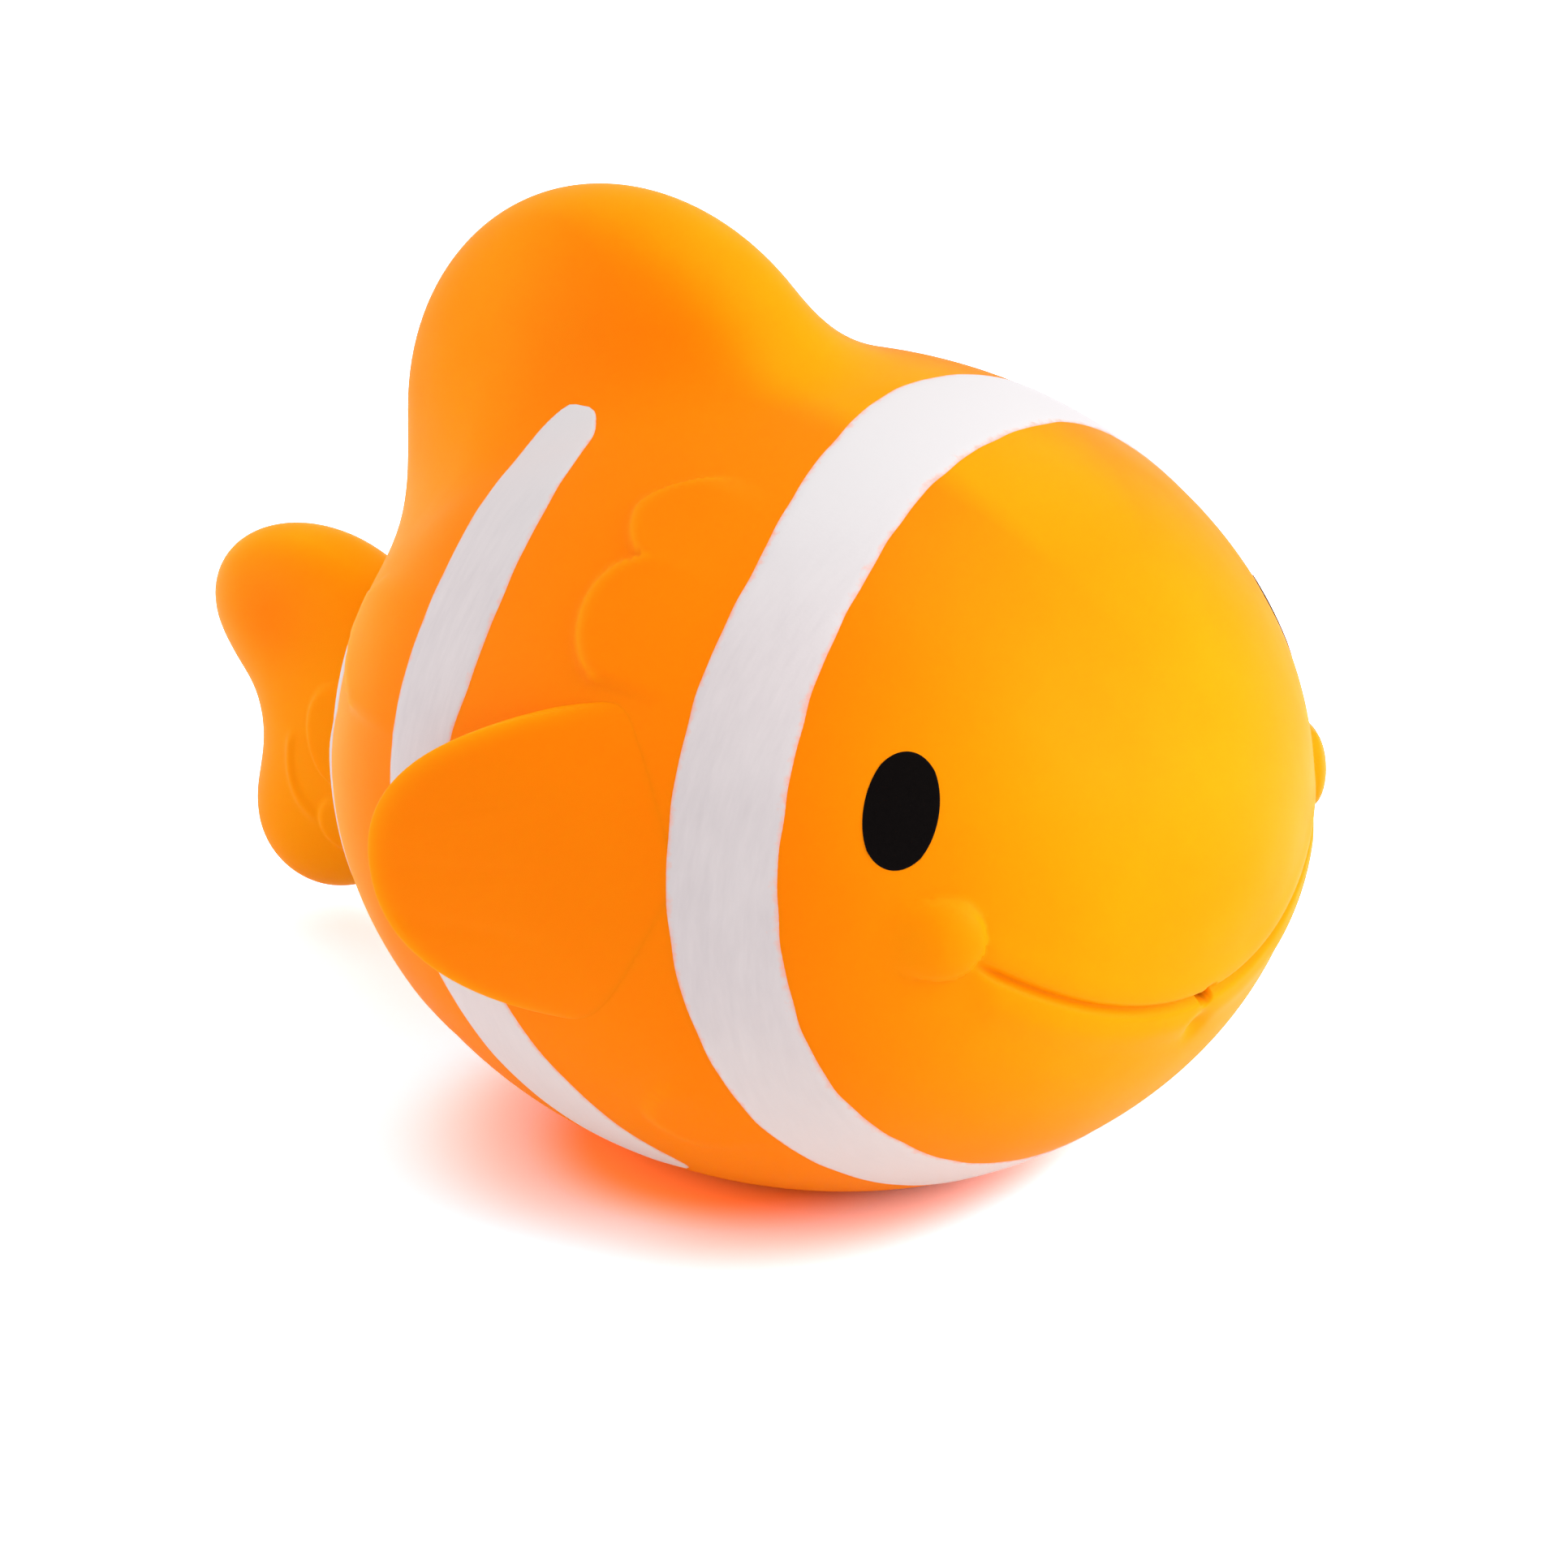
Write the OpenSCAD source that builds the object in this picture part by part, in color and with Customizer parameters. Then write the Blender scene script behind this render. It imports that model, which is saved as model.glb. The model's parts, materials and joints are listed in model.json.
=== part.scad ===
// Squeaky bath toy: a hollow soft-vinyl clownfish with a squirt hole in its mouth and a press-in squeaker in its belly.
// Millimetres, +X to the nose, +Y to the fish's left, +Z up; it stands on the flat of its belly.

/* [Body] */
// Nose to rear of the hollow body, without the tail
body_length = 62.6; // [54:0.2:72]
// Flank to flank, without the side fins
body_width = 57; // [50:0.5:64]
// Back to belly, before the belly is cut flat and without the dorsal fin
body_height = 50.8; // [45:0.2:57]
// Thickness of the soft skin
wall = 2.2; // [1.6:0.1:3]
// How much the belly is cut flat to stand on
foot_cut = 2; // [1.4:0.1:2.6]

/* [Dorsal fin] */
// Length of the round fin along the back
dorsal_length = 34.2; // [28:0.2:40]
// Full height of the fin's round form, partly inside the body
dorsal_height = 33.8; // [28:0.2:38]
// Thickness of the fin at its middle
dorsal_thickness = 18.6; // [14:0.2:22]
// Middle of the fin, behind the middle of the body
dorsal_back = 15.8; // [12:0.2:19]
// Middle of the fin, above the middle of the body
dorsal_rise = 16.6; // [13:0.2:20]
// Size of the soft hollow where the fin meets the back
dorsal_blend = 4.8; // [2:0.2:8]

/* [Tail] */
// Length of the upper lobe
upper_lobe_length = 15.4; // [12:0.2:19]
// Height of the upper lobe
upper_lobe_height = 12.2; // [9:0.2:15]
// Middle of the upper lobe, behind the middle of the body
upper_lobe_back = 45.1; // [42:0.2:48]
// Middle of the upper lobe, below the middle of the body
upper_lobe_drop = 1.8; // [0:0.2:4]
// Length of the lower lobe
lower_lobe_length = 11.2; // [9:0.2:14]
// Height of the lower lobe
lower_lobe_height = 10.4; // [8:0.2:13]
// Middle of the lower lobe, behind the middle of the body
lower_lobe_back = 43.6; // [41:0.2:47]
// Middle of the lower lobe, below the middle of the body
lower_lobe_drop = 15.6; // [13:0.2:18]
// Thickness of the tail fin
tail_thickness = 9; // [6:0.2:11]
// Softness of the web between the lobes
tail_blend = 9; // [6:0.2:11]
// Thickness of the round root that the tail bends at
tail_root_thickness = 9; // [7:0.2:11]
// Height of that root
tail_root_height = 15; // [12:0.2:20]
// Height of the stalk between the root and the lobes
tail_stalk_height = 19; // [15:0.2:22]
// How deep the root sits in its dimple in the skin
tail_root_seat = 1.6; // [1:0.1:1.8]

/* [Side fins] */
// Root to tip
fin_reach = 19; // [15:0.2:22]
// Height of the fin at its root
fin_height = 19.4; // [15:0.2:22]
// Thickness at the root
fin_thickness = 4.4; // [3:0.1:5.4]
// Root, ahead of the middle of the body
fin_forward = 9.5; // [7:0.1:11]
// Root, above the middle of the body
fin_rise = 3.9; // [2:0.1:6]
// Middle of the root, inside the widest part of the flank
fin_seat = 3; // [2:0.1:4]
// Angle at which the fin stands off the flank
fin_flare = 15.5; // [12:0.5:22]
// Angle at which the tip hangs below the root
fin_droop = 10; // [0:0.5:20]

/* [Squeeze zones] */
// Length of the soft zone on each flank that a thumb presses in
zone_length = 27; // [23:0.5:27]
// Height of the zone
zone_height = 27; // [23:0.5:30]
// Middle of the zone, behind the middle of the body
zone_back = 3; // [3:0.1:5]
// Middle of the zone, above the middle of the body
zone_rise = 2.5; // [0:0.1:5]

/* [Face] */
// Diameter of the squirt hole in the mouth
squirt_bore = 1.4; // [1:0.1:2.4]
// Middle of the mouth, below the middle of the body
mouth_drop = 6.3; // [4:0.1:9]
// End to end of the smile
smile_width = 32; // [24:0.5:36]
// How far the ends of the smile turn up
smile_lift = 6.2; // [3:0.1:8]
// Width of the smile's groove
smile_groove = 0.9; // [0.6:0.1:1.4]
// Diameter of the round cheeks at the ends of the smile
cheek_size = 4.6; // [3.6:0.1:6]
// How far a cheek stands out of the skin
cheek_stand = 0.8; // [0.6:0.1:1.6]
// Width of an eye
eye_width = 4.6; // [3.6:0.1:6]
// Height of an eye
eye_height = 6.9; // [5:0.1:8]
// Middle of an eye, ahead of the middle of the body
eye_forward = 21.8; // [20:0.1:23]
// Middle of an eye, above the middle of the body
eye_rise = 8.8; // [6:0.1:11]

/* [Painted bands] */
// Thickness of a coat of paint
paint = 0.25; // [0.15:0.05:0.4]
// Middle of the front band, ahead of the middle of the body
front_band_forward = 15; // [14.5:0.1:16]
// Width of the front band, seen from the side
front_band_width = 6.4; // [4:0.1:6.6]
// Middle of the rear band, behind the middle of the body
rear_band_back = 5.2; // [4:0.1:7]
// Width of the rear band, seen from the side
rear_band_width = 6.4; // [4:0.1:8]
// Height of the rear band's upper tip above the middle of the body
rear_band_top = 22.4; // [18:0.1:23]
// Depth of the rear band's lower end below the middle of the body
rear_band_bottom = 20.6; // [16:0.1:21]
// Middle of the tail band, behind the middle of the body
tail_band_back = 25; // [24:0.1:26]
// Width of the tail band, seen from the side
tail_band_width = 4.6; // [3:0.1:5]
// Height of the tail band's upper tip above the middle of the body
tail_band_top = 9; // [6:0.1:12]

/* [Squeaker] */
// Outside diameter of the squeaker's tube
squeaker_diameter = 14; // [12:0.2:15]
// Length of the tube inside the belly
squeaker_length = 9; // [8:0.2:12]
// Wall of the tube
squeaker_wall = 1.4; // [1:0.1:1.8]
// Width of the rim that stops the squeaker at the belly
squeaker_rim = 1.2; // [0.8:0.1:1.6]
// Thickness of the rim
squeaker_rim_thickness = 0.8; // [0.6:0.1:1.2]
// Thickness of the collar that grips the tube
collar_wall = 2.2; // [1.6:0.1:3]
// Height of the collar above the belly
collar_height = 6; // [4:0.2:7]
// Diameter of an air hole in the squeaker's end
air_hole = 1.6; // [1:0.1:2]
// Width of the reed
reed_width = 3.6; // [2.6:0.1:4.4]
// Thickness of the reed
reed_thickness = 0.2; // [0.1:0.05:0.3]
// Free length of the reed above its clamp
reed_free = 4; // [3:0.1:4.6]

/* [Hidden] */
// Room left between skins that move against each other
soft_clearance = 0.3;
// Room round the squeaker in its seat
seat_clearance = 0.05;
// Room round the reed in its clamp
reed_clearance = 0.1;
// Room beside the free reed for its swing
reed_swing_room = 0.5;
// How far the squeaker's rim stays above the floor
rim_recess = 0.4;
// Length of the reed that the clamp holds
reed_held = 2.2;
// Depth and width of the air channel that the reed covers
channel_depth = 1.8;
channel_width = 2.4;
// How far cutters run past what they cut
overrun = 1;
// Lean of each band: how far it moves forward per unit of drop
front_band_lean_share = 0.2;
rear_band_lean_share = 0.3;
tail_band_lean_share = 0.25;
// Depth of the smile's groove below the skin, as a share of its width
groove_depth_share = 0.55;
// Lean of the eyes
eye_lean = -14;
// Number of air holes round the squeaker's end
air_hole_count = 5;
// Facets round and along the skin, and how closely they crowd along the dorsal fin
around_count = 56;
along_count = 32;
dorsal_crowding = 0.7;
inner_around_count = 32;
inner_along_count = 18;
tail_around_count = 32;
tail_along_count = 24;
// Halvings that find the skin along each ray
halvings = 18;

body_radii = [body_length, body_width, body_height] / 2;
dorsal_radii = [dorsal_length, dorsal_thickness, dorsal_height] / 2;
dorsal_middle = [-dorsal_back, 0, dorsal_rise];
upper_lobe_radii = [upper_lobe_length, tail_thickness, upper_lobe_height] / 2;
upper_lobe_middle = [-upper_lobe_back, 0, -upper_lobe_drop];
lower_lobe_radii = [lower_lobe_length, tail_thickness, lower_lobe_height] / 2;
lower_lobe_middle = [-lower_lobe_back, 0, -lower_lobe_drop];
tail_middle = (upper_lobe_middle + lower_lobe_middle) / 2;
tail_root_radii = [tail_root_thickness, tail_root_thickness, tail_root_height] / 2;
skin_reach = body_length;
foot_level = foot_cut - body_height / 2;
orange = [1, 0.52, 0.02];
white = [0.93, 0.91, 0.91];
black = [0.06, 0.05, 0.05];
grey = [0.8, 0.8, 0.78];

// Distance of a point from an ellipsoid, negative inside, close enough near its surface
function ellipsoid_distance(point, radii) =
    let (scaled = [for (i = [0:2]) point[i] / radii[i]])
    let (twice = [for (i = [0:2]) scaled[i] / radii[i]])
    norm(point) == 0 ? -min(radii) : norm(scaled) * (norm(scaled) - 1) / norm(twice);

// Joins two distances with a soft hollow of the given size
function soft_join(first, second, blend) =
    let (mix = max(0, min(1, 0.5 + (second - first) / blend / 2)))
    second * (1 - mix) + first * mix - blend * mix * (1 - mix);

// The outside of the body with its dorsal fin
skin_field = function (point) soft_join(
    ellipsoid_distance(point, body_radii),
    ellipsoid_distance(point - dorsal_middle, dorsal_radii),
    dorsal_blend);

// Where the tail's root sits at the rear of the body
root_level = tail_middle.z;
rear_at_root = -body_radii.x * sqrt(1 - pow(root_level / body_radii.z, 2));
tail_root_middle = [rear_at_root + tail_root_seat - tail_root_radii.x, 0, root_level];
tail_stalk_middle = (tail_root_middle + tail_middle) / 2;
tail_stalk_radii = [tail_root_middle.x - tail_middle.x + tail_root_radii.x, tail_thickness, tail_stalk_height] / 2;

// The outside of the tail: two lobes, then the stalk and the round root that carry them
lobes_field = function (point) soft_join(
    ellipsoid_distance(point - upper_lobe_middle, upper_lobe_radii),
    ellipsoid_distance(point - lower_lobe_middle, lower_lobe_radii),
    tail_blend);
root_field = function (point) soft_join(
    ellipsoid_distance(point - tail_stalk_middle, tail_stalk_radii),
    ellipsoid_distance(point - tail_root_middle, tail_root_radii),
    tail_root_seat);
tail_field = function (point) soft_join(lobes_field(point), root_field(point), tail_root_seat);

// Distance along a ray at which a field reaches a level
function reach_along(field, from, ray, level, near, far, steps) =
    let (middle = (near + far) / 2)
    steps == 0 ? middle
    : field(from + middle * ray) < level ? reach_along(field, from, ray, level, middle, far, steps - 1)
    : reach_along(field, from, ray, level, near, middle, steps - 1);

// Ray at a station along X and an angle round it from the top, crowded towards the top
function ray_at(station, turn, crowding) =
    let (round_turn = turn - crowding * sin(turn) * 180 / PI)
    [cos(station), sin(station) * sin(round_turn), sin(station) * cos(round_turn)];

// Points of a closed form, ring by ring between two end points
function form_points(field, from, level, along, around, crowding) = [
    from + reach_along(field, from, [1, 0, 0], level, 0, skin_reach, halvings) * [1, 0, 0],
    for (i = [1:along - 1], j = [0:around - 1])
        let (ray = ray_at(180 * i / along, 360 * j / around, crowding))
        from + reach_along(field, from, ray, level, 0, skin_reach, halvings) * ray,
    from - reach_along(field, from, [-1, 0, 0], level, 0, skin_reach, halvings) * [1, 0, 0]
];

// Triangles of a closed form made of such points
function form_faces(along, around) =
    let (last = 1 + (along - 1) * around)
    let (at = function (i, j) 1 + (i - 1) * around + j % around)
    concat(
        [for (j = [0:around - 1]) [0, at(1, j), at(1, j + 1)]],
        [for (i = [1:along - 2], j = [0:around - 1]) [at(i, j), at(i + 1, j), at(i + 1, j + 1)]],
        [for (i = [1:along - 2], j = [0:around - 1]) [at(i, j), at(i + 1, j + 1), at(i, j + 1)]],
        [for (j = [0:around - 1]) [last, at(along - 1, j + 1), at(along - 1, j)]]);

tail_points = form_points(tail_field, tail_stalk_middle, 0, tail_along_count, tail_around_count, 0);
tail_end = min([for (point = tail_points) point.x]);

// Moves the body's middle so that the part stands on the floor, centred
module placed() {
    translate([-(body_radii.x + tail_end) / 2, 0, -foot_level])
        children();
}

// Makes its children one closed mesh of unchanged size
module one_mesh() {
    resize([0, 0, 0])
        children();
}

// The body and dorsal fin as a solid, its surface moved out by the given amount
module skin_form(outset = 0) {
    polyhedron(
        form_points(skin_field, [0, 0, 0], outset, along_count, around_count, dorsal_crowding),
        form_faces(along_count, around_count),
        convexity = 4);
}

// The hollow inside the skin
module skin_hollow() {
    polyhedron(
        form_points(skin_field, [0, 0, 0], -wall, inner_along_count, inner_around_count, dorsal_crowding),
        form_faces(inner_along_count, inner_around_count),
        convexity = 4);
}

// A thin coat on the outside of the skin
module coat() {
    difference() {
        skin_form(paint);
        skin_form();
    }
}

// Prism along Y over the soft zone of a flank, drawn in by the given amount
module zone_prism(side, draw_in = 0) {
    translate([-zone_back, 0, zone_rise])
        rotate([side * 90, 0, 0])
            scale([zone_length / 2 - draw_in, zone_height / 2 - draw_in, body_width])
                cylinder(r = 1, h = 1, $fn = around_count);
}

// Mirrors its children to the other flank: side -1 is the fish's left
module on_side(side) {
    mirror([0, side < 0 ? 1 : 0, 0])
        children();
}

// Height of the smile's groove at a distance from the middle of the face
function smile_level(aside) = -mouth_drop + smile_lift * pow(2 * aside / smile_width, 2);

// Point of the body's surface in front of a place seen from the nose
function face_point(aside, level) = [
    body_radii.x * sqrt(1 - pow(aside / body_radii.y, 2) - pow(level / body_radii.z, 2)), aside, level];

// Point of the right flank's surface beside a place seen from the side
function flank_point(along, level) = [
    along, -body_radii.y * sqrt(1 - pow(along / body_radii.x, 2) - pow(level / body_radii.z, 2)), level];

// Outward direction of the body's surface at one of its points
function outward(point) =
    let (slope = [for (i = [0:2]) point[i] / pow(body_radii[i], 2)])
    slope / norm(slope);

// Turns its children's Z axis to a direction
module aimed(direction) {
    rotate([0, acos(direction.z), atan2(direction.y, direction.x)])
        children();
}

// The smile: a groove that follows the front of the face
smile_steps = 12;
module smile_cutter() {
    asides = [for (i = [0:smile_steps]) smile_width * (i / smile_steps - 1 / 2)];
    lift = smile_groove * (1 / 2 - groove_depth_share);
    for (i = [0:smile_steps - 1])
        hull()
            for (aside = [asides[i], asides[i + 1]])
                let (point = face_point(aside, smile_level(aside)))
                translate(point + lift * outward(point))
                    sphere(d = smile_groove, $fn = 6);
}

// The round cheeks at the ends of the smile
module cheeks() {
    corner = face_point(-smile_width / 2, smile_level(smile_width / 2) + cheek_size / 2);
    for (side = [1, -1])
        on_side(side)
            translate(corner + (cheek_stand - cheek_size / 2) * outward(corner))
                sphere(d = cheek_size, $fn = 16);
}

// The squirt hole, square to the skin at the middle of the mouth
module squirt_cutter() {
    mouth = face_point(0, -mouth_drop);
    translate(mouth)
        aimed(outward(mouth))
            cylinder(d = squirt_bore, h = 2 * (wall + overrun), center = true, $fn = 20);
}

seat_radius = squeaker_diameter / 2 + seat_clearance;
rim_radius = squeaker_diameter / 2 + squeaker_rim;
// The collar that grips the squeaker, inside the belly
module collar() {
    translate([0, 0, foot_level])
        cylinder(r = seat_radius + collar_wall, h = collar_height, $fn = around_count);
}

// The squeaker's seat: a bore through the collar and a recess for its rim
module seat_cutter() {
    translate([0, 0, foot_level - overrun])
        cylinder(r = seat_radius, h = collar_height + 2 * overrun, $fn = around_count);
    translate([0, 0, foot_level - overrun])
        cylinder(r = rim_radius + seat_clearance, h = overrun + rim_recess + squeaker_rim_thickness,
            $fn = around_count);
}

// Everything below the flat of the belly
module below_foot() {
    translate([0, 0, foot_level - body_height / 2])
        cube([body_length, body_width, body_height], center = true);
}

// The dimple that the tail's root turns in
module tail_dimple() {
    translate(tail_root_middle)
        scale(tail_root_radii + soft_clearance * [1, 1, 1])
            sphere(1, $fn = 48);
}

// Soft hollow skin with the dorsal fin, the mouth and the squeaker's seat
module body_skin() {
    color(orange)
        placed()
            one_mesh()
                difference() {
                    union() {
                        difference() {
                            skin_form();
                            skin_hollow();
                        }
                        intersection() {
                            collar();
                            skin_form();
                        }
                        difference() {
                            cheeks();
                            skin_hollow();
                        }
                    }
                    below_foot();
                    seat_cutter();
                    squirt_cutter();
                    smile_cutter();
                    tail_dimple();
                    zone_prism(1);
                    zone_prism(-1);
                }
}

// Soft zone of a flank, which a squeeze pushes in
module flank(side) {
    color(orange)
        placed()
            one_mesh()
                intersection() {
                    difference() {
                        skin_form();
                        skin_hollow();
                    }
                    zone_prism(side, soft_clearance);
                }
}

module right_flank() {
    flank(1);
}

module left_flank() {
    flank(-1);
}

// Side fin: the rear half of a flat leaf that grows out of the flank at its front
fin_middle = [fin_forward, fin_seat - body_radii.y, fin_rise];
module side_fin(side) {
    color(orange)
        placed()
            one_mesh()
                on_side(side)
                    intersection() {
                        difference() {
                            translate(fin_middle)
                                rotate([0, -fin_droop, fin_flare])
                                    scale([fin_reach, fin_thickness / 2, fin_height / 2])
                                        sphere(1, $fn = 40);
                            skin_form(soft_clearance);
                        }
                        zone_prism(1, 2 * soft_clearance);
                    }
}

module right_fin() {
    side_fin(1);
}

module left_fin() {
    side_fin(-1);
}

// Tail fin of two soft lobes on a round root
module tail_fin() {
    color(orange)
        placed()
            one_mesh()
                polyhedron(tail_points, form_faces(tail_along_count, tail_around_count), convexity = 4);
}

// Upright strip seen from the side, leaning forward as it goes down, with round or open ends
module strip(forward, width, lean_share, top, bottom) {
    rotate([90, 0, 0])
        linear_extrude(height = body_width + 2 * overrun, center = true)
            multmatrix([[1, -lean_share, 0, forward], [0, 1, 0, 0]])
                hull() {
                    translate([0, top - width / 2])
                        circle(d = width, $fn = 24);
                    translate([0, width / 2 - bottom])
                        circle(d = width, $fn = 24);
                }
}

// White ring behind the head
module front_band() {
    color(white)
        placed()
            one_mesh()
                intersection() {
                    coat();
                    strip(front_band_forward, front_band_width, front_band_lean_share, body_height, body_height);
                }
}

// White strips in front of the tail half, seen from the side
module rear_strip() {
    strip(-rear_band_back, rear_band_width, rear_band_lean_share, rear_band_top, rear_band_bottom);
}

// The rear band's ends above and below the soft zones
module rear_band() {
    color(white)
        placed()
            one_mesh()
                difference() {
                    intersection() {
                        coat();
                        rear_strip();
                    }
                    zone_prism(1);
                    zone_prism(-1);
                    below_foot();
                }
}

// The rear band's stretch on a soft zone, which moves with it
module flank_band(side) {
    color(white)
        placed()
            one_mesh()
                intersection() {
                    coat();
                    rear_strip();
                    zone_prism(side, soft_clearance);
                }
}

module right_flank_band() {
    flank_band(1);
}

module left_flank_band() {
    flank_band(-1);
}

// White band round the rear, open at the dorsal fin
module tail_band() {
    color(white)
        placed()
            one_mesh()
                difference() {
                    intersection() {
                        coat();
                        strip(-tail_band_back, tail_band_width, tail_band_lean_share, tail_band_top, body_height);
                    }
                    tail_dimple();
                }
}

// Black painted eye
module eye(side) {
    middle = flank_point(eye_forward, eye_rise);
    color(black)
        placed()
            one_mesh()
                intersection() {
                    coat();
                    on_side(side)
                        translate(middle)
                            aimed(outward(middle))
                                rotate(eye_lean)
                                    scale([eye_height / 2, eye_width / 2, 1])
                                        cylinder(r = 1, h = 2 * wall, center = true, $fn = 40);
                }
}

module right_eye() {
    eye(1);
}

module left_eye() {
    eye(-1);
}

rim_level = foot_level + rim_recess;
tube_bore = squeaker_diameter / 2 - squeaker_wall;
floor_level = rim_level + squeaker_rim_thickness;
clamp_top = floor_level + reed_held + reed_clearance;
reed_room = reed_thickness + 2 * reed_clearance;
block_top = clamp_top + reed_free + reed_clearance;
// Squeaker tube with a stop rim and an end wall with air holes
module squeaker_tube() {
    color(grey)
        placed()
            difference() {
                union() {
                    translate([0, 0, rim_level])
                        cylinder(r = rim_radius, h = squeaker_rim_thickness, $fn = around_count);
                    translate([0, 0, rim_level])
                        cylinder(d = squeaker_diameter, h = squeaker_length, $fn = around_count);
                }
                translate([0, 0, floor_level])
                    cylinder(r = tube_bore, h = squeaker_length, $fn = around_count);
                for (i = [0:air_hole_count - 1])
                    rotate(360 * i / air_hole_count)
                        translate([tube_bore / 2, 0, rim_level - overrun])
                            cylinder(d = air_hole, h = squeaker_rim_thickness + 2 * overrun, $fn = 24);
            }
}

// Half-round block in the tube: its flat side carries the reed over an air channel
module reed_block() {
    height = block_top - floor_level;
    color(white)
        placed()
            translate([0, 0, floor_level])
                difference() {
                    cylinder(r = tube_bore - seat_clearance, h = height, $fn = around_count);
                    translate([-reed_room / 2, -tube_bore, -overrun])
                        cube([2 * tube_bore, 2 * tube_bore, height + 2 * overrun]);
                    translate([-reed_room / 2 - reed_swing_room, -tube_bore, clamp_top - floor_level])
                        cube([2 * tube_bore, 2 * tube_bore, height]);
                    translate([-reed_room / 2 - channel_depth, -channel_width / 2, reed_held / 2])
                        cube([2 * tube_bore, channel_width, height]);
                }
}

// Half-round wedge that holds the reed's foot against the block
module reed_clamp() {
    color(grey)
        placed()
            translate([0, 0, floor_level])
                difference() {
                    cylinder(r = tube_bore - seat_clearance, h = clamp_top - floor_level, $fn = around_count);
                    translate([reed_room / 2 - 2 * tube_bore, -tube_bore, -overrun])
                        cube([2 * tube_bore, 2 * tube_bore, clamp_top - floor_level + 2 * overrun]);
                }
}

// Thin springy reed that sounds when air passes
module squeaker_reed() {
    color([0.85, 0.72, 0.35])
        placed()
            translate([-reed_thickness / 2, -reed_width / 2, floor_level + reed_clearance])
                cube([reed_thickness, reed_width, reed_held + reed_free]);
}

body_skin();
right_flank();
left_flank();
right_fin();
left_fin();
tail_fin();
front_band();
rear_band();
right_flank_band();
left_flank_band();
tail_band();
right_eye();
left_eye();
squeaker_tube();
reed_block();
reed_clamp();
squeaker_reed();
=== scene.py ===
import json
import math

import bmesh
import bpy
import numpy as np
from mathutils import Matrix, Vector

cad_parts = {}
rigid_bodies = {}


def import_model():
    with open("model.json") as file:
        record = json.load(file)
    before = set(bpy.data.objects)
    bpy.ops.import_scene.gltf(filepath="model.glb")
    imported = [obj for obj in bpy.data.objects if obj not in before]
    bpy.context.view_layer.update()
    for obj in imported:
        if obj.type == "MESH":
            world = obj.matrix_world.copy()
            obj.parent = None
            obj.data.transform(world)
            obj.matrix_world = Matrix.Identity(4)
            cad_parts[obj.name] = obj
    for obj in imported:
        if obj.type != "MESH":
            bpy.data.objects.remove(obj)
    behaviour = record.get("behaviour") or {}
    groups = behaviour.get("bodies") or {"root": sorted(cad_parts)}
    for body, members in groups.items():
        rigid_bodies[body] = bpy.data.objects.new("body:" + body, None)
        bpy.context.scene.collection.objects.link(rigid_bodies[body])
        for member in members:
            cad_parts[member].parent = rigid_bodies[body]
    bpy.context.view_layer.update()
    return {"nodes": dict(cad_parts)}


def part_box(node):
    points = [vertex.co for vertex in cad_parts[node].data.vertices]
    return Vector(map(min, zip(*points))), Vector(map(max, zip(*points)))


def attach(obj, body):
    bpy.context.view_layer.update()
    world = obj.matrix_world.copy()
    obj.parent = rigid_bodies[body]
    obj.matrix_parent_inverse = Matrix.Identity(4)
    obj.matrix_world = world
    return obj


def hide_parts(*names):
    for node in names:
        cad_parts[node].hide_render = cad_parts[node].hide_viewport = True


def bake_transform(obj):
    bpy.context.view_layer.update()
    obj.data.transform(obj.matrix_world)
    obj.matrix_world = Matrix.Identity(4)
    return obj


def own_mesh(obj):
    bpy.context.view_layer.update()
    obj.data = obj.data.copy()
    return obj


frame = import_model()

# The skin is one hollow, rotation-moulded shell of soft PVC: body, face and dorsal fin come out of the
# mould in one piece. It stands on a flat under its belly, and the hand squeezes it by its two flanks.
# Lengths are in millimetres from the body's middle until a mesh is made.
MM = 0.001
belly_drop = 23.4
tube_low, tube_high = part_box("squeaker_tube")
body_middle = np.array(((tube_low[0] + tube_high[0]) / 2 / MM, 0.0, belly_drop))
body_radii = np.array((31.3, 28.5, 25.4))
dorsal_middle = np.array((-15.5, 0.0, 16.6))
dorsal_radii = np.array((17.4, 9.3, 16.9))
dorsal_front_blend = 3.7
dorsal_rear_blend = 6.0
dorsal_blend_change = (8, 20)
tail_root_middle = np.array((-32.3, 0.0, -8.7))
tail_root_radii = np.array((4.5, 4.5, 7.5))
tail_root_blend = 5.0
skin_rings = 216
skin_spokes = 360
top_crowding = 0.45
nose_crowding = 0.2
nearest_reach = 1.5
farthest_reach = 70.0
cast_steps = 32
nearly_zero = 1e-9


def egg_distance(points, radii):
    """How far points lie outside an egg round the origin; negative inside it."""
    scaled = np.linalg.norm(points / radii, axis=1)
    steepness = np.linalg.norm(points / radii ** 2, axis=1)
    return scaled * (scaled - 1) / np.maximum(steepness, nearly_zero)


def soft_join(first, second, blend):
    """Two distances joined as one moulding, with a fillet of about the blend's size."""
    mix = np.clip(0.5 + (second - first) / (2 * blend), 0, 1)
    return second * (1 - mix) + first * mix - blend * mix * (1 - mix)


def smooth_step(values, low, high):
    """A soft rise from 0 at the low value to 1 at the high one."""
    share = np.clip((values - low) / (high - low), 0, 1)
    return share * share * (3 - 2 * share)


def skin_distance(points):
    """The moulded shape without its fine relief: body, dorsal fin and the root of the tail."""
    shape = egg_distance(points, body_radii)
    to_rear = smooth_step(-points[:, 0], *dorsal_blend_change)
    dorsal_blend = dorsal_front_blend + (dorsal_rear_blend - dorsal_front_blend) * to_rear
    shape = soft_join(shape, egg_distance(points - dorsal_middle, dorsal_radii), dorsal_blend)
    return soft_join(shape, egg_distance(points - tail_root_middle, tail_root_radii), tail_root_blend)


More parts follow.
